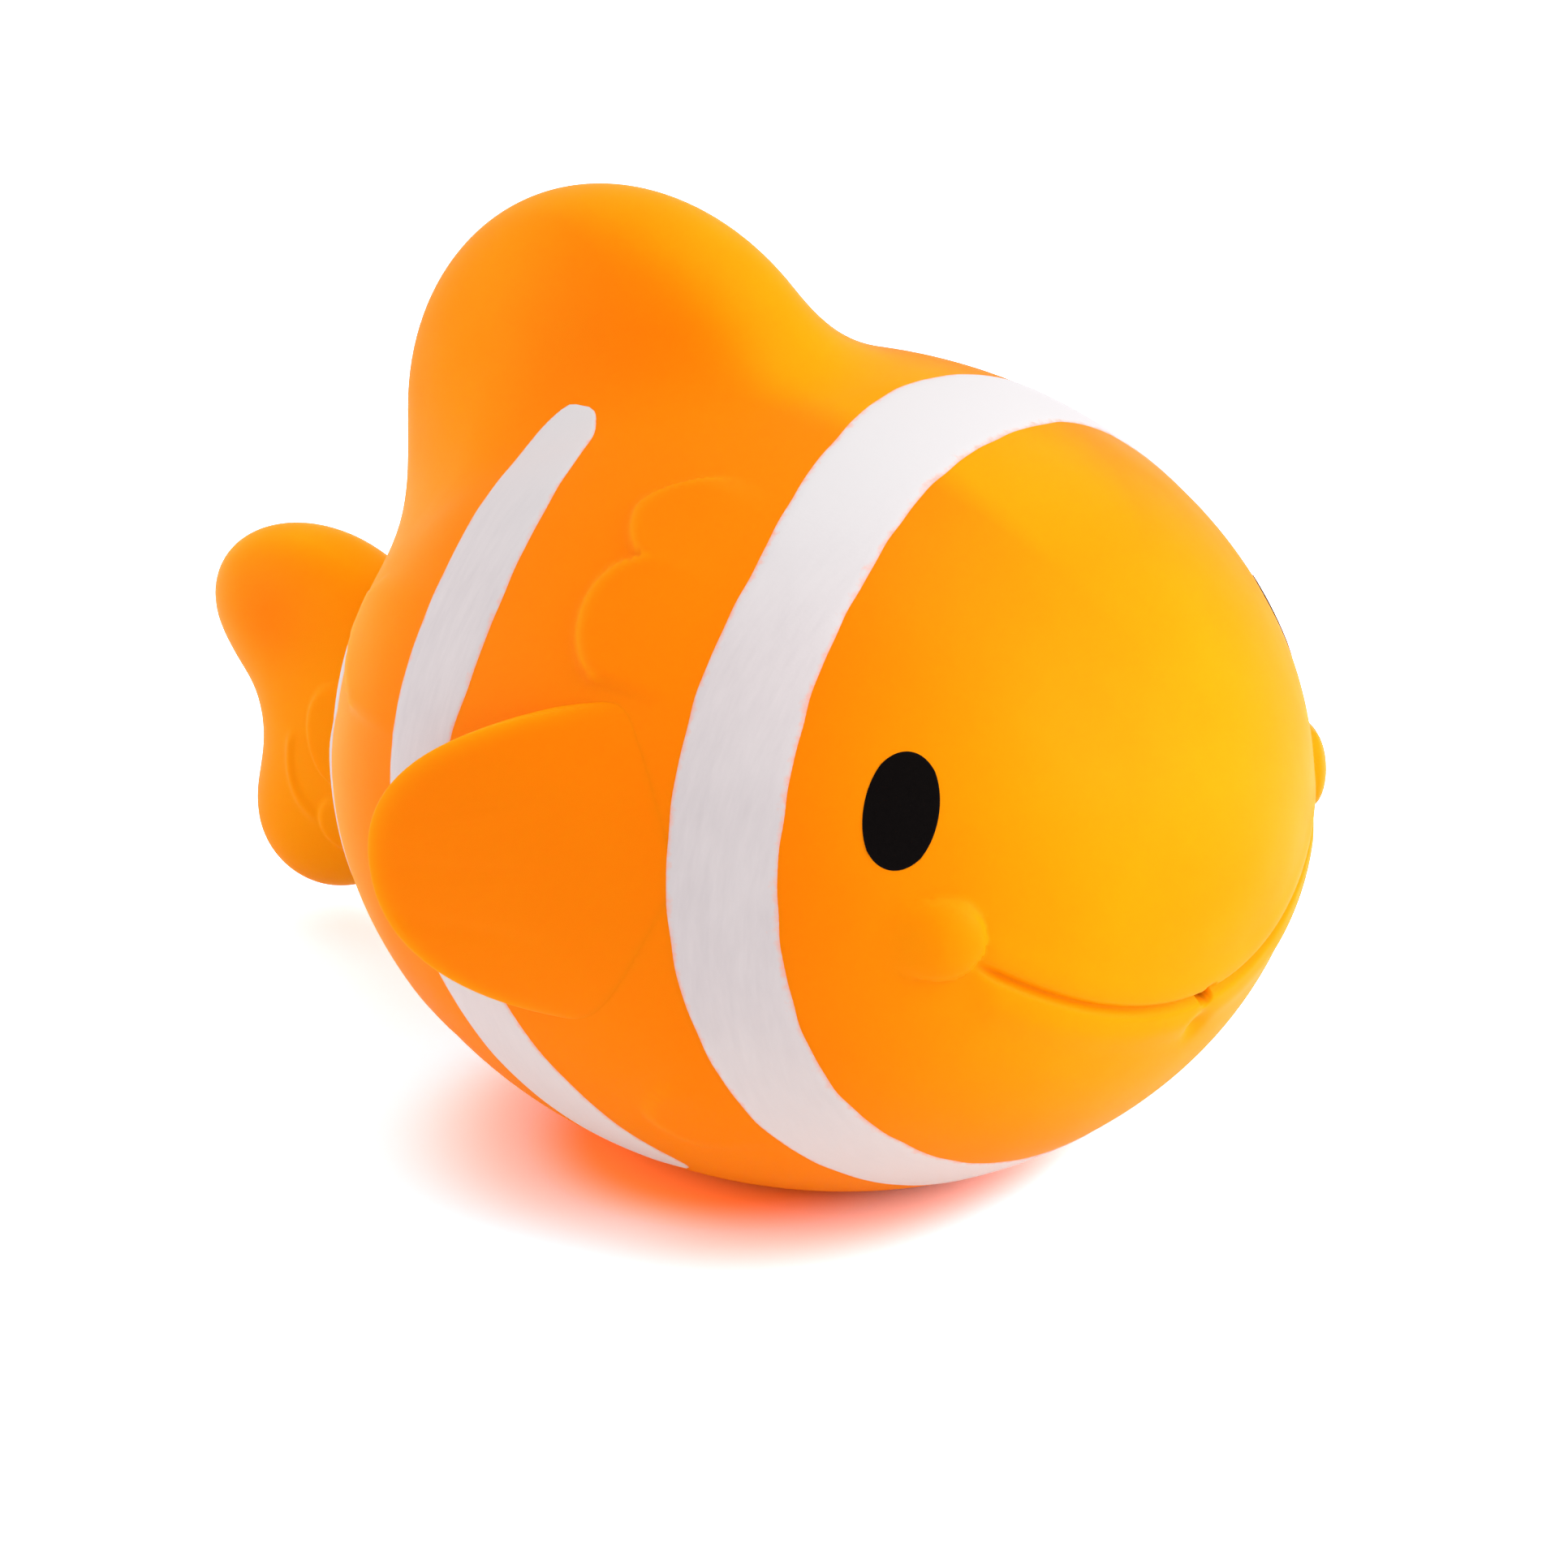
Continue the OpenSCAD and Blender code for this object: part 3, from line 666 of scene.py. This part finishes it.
# Matte white vinyl paint: a chalky, faintly rosy white with thin patches and soft streaks along the band,
# and pink at its edge, where the coat thins out over the orange. Painted light makes it a purer white on
# top, under the light from above, and paler low down, where light from the floor falls. The real speckle is
# finer; it is drawn as coarse as it needs to be to show.
fringe_width = 0.085
top_light_start = 38
top_light_full = 48
floor_bounce_start = 22
floor_bounce_full = 2
white, white_tree, white_out = new_material("white_vinyl_paint")
white_place = add_node(white_tree, "ShaderNodeTexCoord").outputs["Object"]
edge_nearness = add_node(white_tree, "ShaderNodeAttribute", attribute_name="from_edge")
speckle_size = 0.7
speckle = add_node(white_tree, "ShaderNodeTexNoise", {
    "Vector": white_place, "Scale": 1 / (speckle_size * MM), "Detail": 4.0, "Roughness": 0.65})
patch_size = 6
thin_patch = add_node(white_tree, "ShaderNodeTexNoise", {
    "Vector": white_place, "Scale": 1 / (patch_size * MM), "Detail": 2.0})
rough_edge = add_node(white_tree, "ShaderNodeMath", {
    0: edge_nearness.outputs["Fac"], 1: speckle.outputs["Fac"]}, operation="MULTIPLY")
fringe = add_node(white_tree, "ShaderNodeMapRange", {
    "Value": rough_edge.outputs["Value"], "From Min": 0.0, "From Max": fringe_width,
    "To Min": 1.0, "To Max": 0.0}, interpolation_type="SMOOTHSTEP")
streak_size = 0.5
streak_place = add_node(white_tree, "ShaderNodeMapping", {
    "Vector": white_place, "Scale": (1.0, 0.18, 0.18)})
streaks = add_node(white_tree, "ShaderNodeTexNoise", {
    "Vector": streak_place.outputs["Vector"], "Scale": 1 / (streak_size * MM), "Detail": 3.0,
    "Roughness": 0.6})
patchy = add_node(white_tree, "ShaderNodeMath", {
    0: thin_patch.outputs["Fac"], 1: streaks.outputs["Fac"]}, operation="ADD")
patch_share = add_node(white_tree, "ShaderNodeMapRange", {
    "Value": patchy.outputs["Value"], "From Min": 0.6, "From Max": 1.4})
chalk = add_node(white_tree, "ShaderNodeMix", {
    "Factor": patch_share.outputs["Result"], "A": linear("D8CFD0"),
    "B": linear("CDC4C6")}, data_type="RGBA")
white_axes = add_node(white_tree, "ShaderNodeSeparateXYZ", {"Vector": white_place})
# Painted light: a purer, less rosy white on top, where the light from above falls.
top_light_share = add_node(white_tree, "ShaderNodeMapRange", {
    "Value": white_axes.outputs["Z"], "From Min": top_light_start * MM,
    "From Max": top_light_full * MM}, interpolation_type="SMOOTHSTEP")
painted_top_light = add_node(white_tree, "ShaderNodeMix", {
    "Factor": top_light_share.outputs["Result"], "A": chalk.outputs["Result"],
    "B": linear("D6D2D3")}, data_type="RGBA")
# Painted light: a paler white low down, lit by light bounced up from the floor.
floor_bounce_share = add_node(white_tree, "ShaderNodeMapRange", {
    "Value": white_axes.outputs["Z"], "From Min": floor_bounce_full * MM, "From Max": floor_bounce_start * MM,
    "To Min": 1.0, "To Max": 0.0})
painted_floor_bounce = add_node(white_tree, "ShaderNodeMix", {
    "Factor": floor_bounce_share.outputs["Result"], "A": painted_top_light.outputs["Result"],
    "B": linear("E7DDD9")}, data_type="RGBA")
white_colour = add_node(white_tree, "ShaderNodeMix", {
    "Factor": fringe.outputs["Result"], "A": painted_floor_bounce.outputs["Result"],
    "B": linear("F59A7C")}, data_type="RGBA")
white_bump = add_node(white_tree, "ShaderNodeBump", {
    "Height": speckle.outputs["Fac"], "Strength": 0.15, "Distance": 0.08 * MM})
white_shader = add_node(white_tree, "ShaderNodeBsdfPrincipled", {
    "Base Color": white_colour.outputs["Result"], "Roughness": 0.62, "Specular IOR Level": 0.25,
    "Normal": white_bump.outputs["Normal"]})
white_tree.links.new(white_shader.outputs["BSDF"], white_out.inputs["Surface"])

ring_turns = (-180, -131, -112.8, -97.7, -82, -58, -34, -13, 0,
              18.5, 40, 57, 72.5, 87.6, 97.7, 112.8, 131, 180)
ring_rear = (17, 14.8, 13.4, 12.2, 10.8, 7.4, 3.9, 4.2, 4.75,
             6.7, 8.8, 9.7, 10.5, 11.5, 12.2, 13.4, 14.8, 17)
ring_front = (21.5, 20.3, 19.3, 18.4, 17.2, 14, 11, 11.9, 12.5,
              13.7, 15.2, 16.2, 17.1, 17.9, 18.4, 19.3, 20.3, 21.5)
ring_mesh = bmesh.new()
bmesh.ops.create_cone(ring_mesh, segments=ring_spokes, radius1=1, radius2=1, depth=1, cap_ends=False)
ring_ribs = [edge for edge in ring_mesh.edges if abs(edge.verts[0].co.z - edge.verts[1].co.z) > 0.5]
bmesh.ops.subdivide_edges(ring_mesh, edges=ring_ribs, cuts=band_strips, use_grid_fill=True)
ring_shares = np.array([vertex.co.z + 0.5 for vertex in ring_mesh.verts])


def on_ring(places):
    """A short tube opened out into the ring between its two wavering edges."""
    turns = np.degrees(np.arctan2(places[:, 1], places[:, 0]))
    rear = along_curve(turns, ring_turns, ring_rear) + edge_wander(turns, 0.4)
    front = along_curve(turns, ring_turns, ring_front) + edge_wander(turns, 1.9)
    stations = rear + (front - rear) * (places[:, 2] + 0.5)
    return band_places(turns, stations, 2 * np.abs(places[:, 2]) > rim_share)


front_ring = shape_mesh(ring_mesh, "front_paint_ring", on_ring)
mark_edges(front_ring, ring_shares)
front_ring.data.materials.append(white)
follow_squeeze(front_ring)
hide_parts("front_band")

# A shorter white strip crosses each flank behind the side fin. It is sprayed through the same kind of mask,
# and both its ends are rounded, one beside the dorsal fin and one low on the belly.
strip_turns = (24, 36, 44, 53, 64, 74, 90, 103, 110, 117, 128, 140)
strip_rear = (-13.0, -13.5, -13.1, -12.5, -12.2, -11.7, -9.8, -7.4, -6.1, -4.9, -2.6, 0.5)
strip_front = (-8.3, -6.9, -6.1, -5.5, -5.1, -5.2, -2.9, -0.4, 1.2, 2.8, 4.8, 7.2)
strip_top = 21.6
strip_bottom = 139.0
strip_round_top = 6.0
strip_round_bottom = 8.0
strip_lengths = 150


def on_rim(grid):
    """Which points of a flat grid lie on its outer edge."""
    return np.abs(grid[:, :2]).max(axis=1) > rim_share


def on_strip(grid, side):
    """A strip with rounded ends and two wavering edges, on one flank."""
    turns = strip_top + (strip_bottom - strip_top) * (grid[:, 0] + 1) / 2
    near_top = np.clip(1 - (turns - strip_top) / strip_round_top, 0, 1)
    near_bottom = np.clip(1 - (strip_bottom - turns) / strip_round_bottom, 0, 1)
    width_share = np.sqrt(np.clip(1 - np.maximum(near_top, near_bottom) ** 2, 0, 1))
    rear = along_curve(turns, strip_turns, strip_rear) + edge_wander(turns, 0.9)
    front = along_curve(turns, strip_turns, strip_front) + edge_wander(turns, 2.6)
    stations = (rear + front) / 2 + (front - rear) / 2 * width_share * grid[:, 1]
    return band_places(turns * side, stations, on_rim(grid))


def white_strip(name, move):
    """A strip of white paint, moved onto its place on the skin."""
    strip_mesh = bmesh.new()
    bmesh.ops.create_grid(strip_mesh, x_segments=strip_lengths, y_segments=band_strips, size=1)
    strip_shares = np.array([(vertex.co.y + 1) / 2 for vertex in strip_mesh.verts])
    made = shape_mesh(strip_mesh, name, move)
    mark_edges(made, strip_shares)
    made.data.materials.append(white)
    follow_squeeze(made)
    return made


for side, side_name in sides:
    strip = white_strip(side_name + "_paint_strip", lambda grid: on_strip(grid, side))
    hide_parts("rear_band", side_name + "_flank_band")

# The last white band is painted round the narrow end of the body in front of the tail, from below the
# dorsal fin on one side, under the belly, to the other side.
tail_strip_top = 56.0
tail_strip_round = 16.0
tail_strip_front = -20.9
tail_strip_rear = -26.2
tail_strip_lean = 0.2
tail_strip_radius = 14.0
tail_strip_waver = 0.4
belly_turn = 180.0


def on_tail_strip(grid):
    """A strip with rounded ends that leans forwards under the belly."""
    half_turn = belly_turn - tail_strip_top
    turns = belly_turn + half_turn * grid[:, 0]
    near_end = np.clip(1 - half_turn * (1 - np.abs(grid[:, 0])) / tail_strip_round, 0, 1)
    width_share = np.sqrt(np.clip(1 - near_end ** 2, 0, 1))
    low = -np.cos(np.radians(turns)) * tail_strip_radius
    half_width = (tail_strip_front - tail_strip_rear) / 2 * width_share
    middle = (tail_strip_front + tail_strip_rear) / 2 + tail_strip_lean * low
    middle += tail_strip_waver * edge_wander(turns, 1.2)
    return band_places(turns, middle + half_width * grid[:, 1], on_rim(grid))


tail_strip = white_strip("tail_paint_strip", on_tail_strip)
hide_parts("tail_band")

# The eyes are upright ovals of matte black vinyl paint, pad-printed on each side of the head, and they
# lean a little towards the nose at the top.
eye_middle = np.array((21.8, -17.9, 8.8))
eye_across = np.array((1.69, 1.4, -0.33))
eye_up = np.array((-0.45, 1.42, 3.2))
eye_cells = 40
left_eye_shift = np.array((-1.9, -1.9, 0.0))

# Black vinyl paint: a dull, faintly brown black, broken by fine dust that is drawn coarse enough to show.
black, black_tree, black_out = new_material("black_vinyl_paint")
black_place = add_node(black_tree, "ShaderNodeTexCoord").outputs["Object"]
dust_size = 0.3
dust = add_node(black_tree, "ShaderNodeTexNoise", {
    "Vector": black_place, "Scale": 1 / (dust_size * MM), "Detail": 3.0, "Roughness": 0.7})
black_colour = add_node(black_tree, "ShaderNodeMix", {
    "Factor": dust.outputs["Fac"], "A": linear("040202"), "B": linear("0C0807")}, data_type="RGBA")
black_bump = add_node(black_tree, "ShaderNodeBump", {
    "Height": dust.outputs["Fac"], "Strength": 0.2, "Distance": 0.06 * MM})
black_shader = add_node(black_tree, "ShaderNodeBsdfPrincipled", {
    "Base Color": black_colour.outputs["Result"], "Roughness": 0.6, "Specular IOR Level": 0.03,
    "Normal": black_bump.outputs["Normal"]})
black_tree.links.new(black_shader.outputs["BSDF"], black_out.inputs["Surface"])


def on_eye(grid, side):
    """A square grid drawn into an oval and laid on the skin."""
    wide = grid[:, 0] * np.sqrt(1 - grid[:, 1] ** 2 / 2)
    tall = grid[:, 1] * np.sqrt(1 - grid[:, 0] ** 2 / 2)
    middle = eye_middle + left_eye_shift * (side < 0)
    directions = unit(middle + np.outer(wide, eye_across) + np.outer(tall, eye_up)) * (1, side, 1)
    return lifted(directions, on_rim(grid))


for side, side_name in sides:
    eye_mesh = bmesh.new()
    bmesh.ops.create_grid(eye_mesh, x_segments=eye_cells, y_segments=eye_cells, size=1)
    eye = shape_mesh(eye_mesh, side_name + "_painted_eye", lambda grid: on_eye(grid, side))
    eye.data.materials.append(black)
    follow_squeeze(eye)
    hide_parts(side_name + "_eye")

# Every coat of paint is an open sheet, so its faces are turned to look outwards, away from the body's
# middle, as the skin's own faces do.
for paint in [piece for piece in bpy.data.objects if "paint" in piece.name]:
    paint_mesh = bmesh.new()
    paint_mesh.from_mesh(paint.data)
    inward = [face for face in paint_mesh.faces
              if face.normal.dot(face.calc_center_median() - Vector(body_anchor)) < 0]
    bmesh.ops.reverse_faces(paint_mesh, faces=inward)
    paint_mesh.to_mesh(paint.data)
    paint_mesh.free()

# The squeaker is a small moulded insert pressed into the belly: a tube with a rim and air holes, a
# half-round block and a wedge that clamp the thin brass reed between them. Their shapes are the solids' own.
# Natural polyethylene: a milky, waxy white with faint flow clouds.
insert, insert_tree, insert_out = new_material("natural_polyethylene")
insert_place = add_node(insert_tree, "ShaderNodeTexCoord").outputs["Object"]
flow_size = 2.5
flow = add_node(insert_tree, "ShaderNodeTexNoise", {
    "Vector": insert_place, "Scale": 1 / (flow_size * MM), "Detail": 3.0})
insert_colour = add_node(insert_tree, "ShaderNodeMix", {
    "Factor": flow.outputs["Fac"], "A": linear("DEDDD6"), "B": linear("CFCDC3")}, data_type="RGBA")
insert_bump = add_node(insert_tree, "ShaderNodeBump", {
    "Height": flow.outputs["Fac"], "Strength": 0.1, "Distance": 0.1 * MM})
insert_shader = add_node(insert_tree, "ShaderNodeBsdfPrincipled", {
    "Base Color": insert_colour.outputs["Result"], "Roughness": 0.42, "IOR": 1.51,
    "Normal": insert_bump.outputs["Normal"], "Subsurface Weight": 0.2, "Subsurface Scale": 1.0 * MM})
insert_tree.links.new(insert_shader.outputs["BSDF"], insert_out.inputs["Surface"])

# Rolled spring brass: fine lines along the strip and a warm yellow shine.
brass, brass_tree, brass_out = new_material("rolled_spring_brass")
brass_place = add_node(brass_tree, "ShaderNodeTexCoord").outputs["Object"]
line_size = 0.15
brass_stretch = add_node(brass_tree, "ShaderNodeMapping", {
    "Vector": brass_place, "Scale": (1.0, 1.0, 0.08)})
rolled_lines = add_node(brass_tree, "ShaderNodeTexNoise", {
    "Vector": brass_stretch.outputs["Vector"], "Scale": 1 / (line_size * MM), "Detail": 2.0})
brass_colour = add_node(brass_tree, "ShaderNodeMix", {
    "Factor": rolled_lines.outputs["Fac"], "A": linear("E2C27A"), "B": linear("C9A45C")}, data_type="RGBA")
brass_roughness = add_node(brass_tree, "ShaderNodeMapRange", {
    "Value": rolled_lines.outputs["Fac"], "To Min": 0.22, "To Max": 0.4})
brass_shader = add_node(brass_tree, "ShaderNodeBsdfPrincipled", {
    "Base Color": brass_colour.outputs["Result"], "Roughness": brass_roughness.outputs["Result"],
    "Metallic": 1.0})
brass_tree.links.new(brass_shader.outputs["BSDF"], brass_out.inputs["Surface"])
squeaker_finishes = (("squeaker_tube", insert), ("reed_block", insert), ("reed_clamp", insert),
                     ("squeaker_reed", brass))
for node_name, finish in squeaker_finishes:
    for material_slot in frame["nodes"][node_name].material_slots:
        material_slot.material = finish

# The floor is a wide sheet of matte white studio paper that takes the toy's shadow; close to its belly an
# orange glow and, round it, a pink halo of shade are painted into the colour that the paper is seen in. It
# lights the toy as paper does, but is seen in a purer white than paper gives.
floor_half_width = 4.0
floor_cells = 8
floor_mesh = bmesh.new()
bmesh.ops.create_grid(floor_mesh, x_segments=floor_cells, y_segments=floor_cells, size=floor_half_width)
floor_data = bpy.data.meshes.new("studio_paper")
floor_mesh.to_mesh(floor_data)
floor_mesh.free()
floor = bpy.data.objects.new("studio_paper", floor_data)
bpy.context.scene.collection.objects.link(floor)
paper, paper_tree, paper_out = new_material("white_studio_paper")
paper_place = add_node(paper_tree, "ShaderNodeTexCoord").outputs["Object"]
seen_white = (1.75, 1.72, 1.95, 1.0)
# Painted light and shade on the floor, seen only directly: a deep orange glow by the belly and a pink halo
# round it.
seen_painted_halo = (1.45, 1.08, 1.04, 1.0)
seen_painted_glow = (1.8, 0.6, 0.15, 1.0)
halo_start = 0.85
halo_end = 1.6
glow_start = 0.6
glow_end = 0.98
glow_radius = 14 * MM
glow_middle = np.array((9.5, -7.0, 0.0)) * MM
glow_place = add_node(paper_tree, "ShaderNodeMapping", {
    "Vector": paper_place, "Location": tuple(-glow_middle / glow_radius),
    "Scale": (1 / glow_radius, 1 / glow_radius, 1.0)}, vector_type="POINT")
glow_reach = add_node(paper_tree, "ShaderNodeVectorMath", {
    0: glow_place.outputs["Vector"]}, operation="LENGTH")
halo_share = add_node(paper_tree, "ShaderNodeMapRange", {
    "Value": glow_reach.outputs["Value"], "From Min": halo_start, "From Max": halo_end,
    "To Min": 1.0, "To Max": 0.0}, interpolation_type="SMOOTHSTEP")
painted_halo = add_node(paper_tree, "ShaderNodeMix", {
    "Factor": halo_share.outputs["Result"], "A": seen_white, "B": seen_painted_halo}, data_type="RGBA")
glow_share = add_node(paper_tree, "ShaderNodeMapRange", {
    "Value": glow_reach.outputs["Value"], "From Min": glow_start, "From Max": glow_end,
    "To Min": 1.0, "To Max": 0.0}, interpolation_type="SMOOTHSTEP")
painted_floor_light = add_node(paper_tree, "ShaderNodeMix", {
    "Factor": glow_share.outputs["Result"], "A": painted_halo.outputs["Result"], "B": seen_painted_glow}, data_type="RGBA")
paper_shade = add_node(paper_tree, "ShaderNodeBsdfDiffuse", {"Color": linear("F4F4F4")})
paper_seen = add_node(paper_tree, "ShaderNodeBsdfDiffuse", {"Color": painted_floor_light.outputs["Result"]})


def seen_directly(tree):
    """1 where a surface is seen, also in a mirror or through glass; 0 where it only lights others."""
    path = add_node(tree, "ShaderNodeLightPath")
    mirrored = add_node(tree, "ShaderNodeMath", {
        0: path.outputs["Is Glossy Ray"], 1: path.outputs["Is Transmission Ray"]}, operation="MAXIMUM")
    direct = add_node(tree, "ShaderNodeMath", {
        0: path.outputs["Is Camera Ray"], 1: mirrored.outputs["Value"]}, operation="MAXIMUM")
    return direct.outputs["Value"]


paper_surface = add_node(paper_tree, "ShaderNodeMixShader", {
    0: seen_directly(paper_tree), 1: paper_shade.outputs["BSDF"], 2: paper_seen.outputs["BSDF"]})
paper_tree.links.new(paper_surface.outputs["Shader"], paper_out.inputs["Surface"])
floor_data.materials.append(paper)

# The studio is a white tent with a large soft lamp to the right of the camera, beyond the nose, a weaker
# one above and another to the left, beyond the tail.
studio = bpy.data.worlds.new("studio_tent")
bpy.context.scene.world = studio
studio.use_nodes = True
studio_tree = studio.node_tree
studio_tree.nodes.clear()
tent_strength = 0.74
seen_strength = 1.0
tent_level = add_node(studio_tree, "ShaderNodeMapRange", {
    "Value": seen_directly(studio_tree), "To Min": tent_strength, "To Max": seen_strength})
tent = add_node(studio_tree, "ShaderNodeBackground", {
    "Color": (1.0, 1.0, 1.0, 1.0), "Strength": tent_level.outputs["Result"]})
add_node(studio_tree, "ShaderNodeOutputWorld", {"Surface": tent.outputs["Background"]})
toy_heart = Vector(body_anchor)


def soft_lamp(name, direction, distance, size, power):
    """A square soft box that looks at the toy."""
    lamp = bpy.data.lights.new(name, "AREA")
    lamp.size = size
    lamp.energy = power
    holder = bpy.data.objects.new(name, lamp)
    bpy.context.scene.collection.objects.link(holder)
    away = Vector(direction).normalized()
    holder.location = toy_heart + away * distance
    holder.rotation_euler = (-away).to_track_quat("-Z", "Y").to_euler()


soft_lamp("nose_soft_box", direction=(0.95, 0.5, 0.55), distance=0.6, size=0.4, power=2.4)
soft_lamp("top_soft_box", direction=(0.2, 0.2, 1.0), distance=0.6, size=0.35, power=0.75)
soft_lamp("tail_soft_box", direction=(-0.9, -0.8, 0.35), distance=0.7, size=0.5, power=1.3)

# The camera stands at the toy's right front, a little above it, with a long lens. It looks straight at the
# body's middle, and its shift puts that middle where the photo has it.
camera_azimuth = math.radians(41.25)
camera_rise = math.radians(23)
camera_distance = 0.350
photo_pixels = 1932
photo_focal_pixels = 7000
heart_pixel = (1010.7, 939.3)
camera_data = bpy.data.cameras.new("photo_camera")
camera_data.sensor_width = 36
camera_data.lens = photo_focal_pixels / photo_pixels * camera_data.sensor_width
camera_data.shift_x = (photo_pixels / 2 - heart_pixel[0]) / photo_pixels
camera_data.shift_y = (heart_pixel[1] - photo_pixels / 2) / photo_pixels
camera_data.clip_start = 0.01
camera = bpy.data.objects.new("photo_camera", camera_data)
bpy.context.scene.collection.objects.link(camera)
towards_camera = Vector((math.sin(camera_azimuth) * math.cos(camera_rise),
                         -math.cos(camera_azimuth) * math.cos(camera_rise), math.sin(camera_rise)))
camera.location = toy_heart + towards_camera * camera_distance
camera.rotation_euler = (-towards_camera).to_track_quat("-Z", "Y").to_euler()
bpy.context.scene.camera = camera
bpy.context.scene.view_settings.view_transform = "Standard"
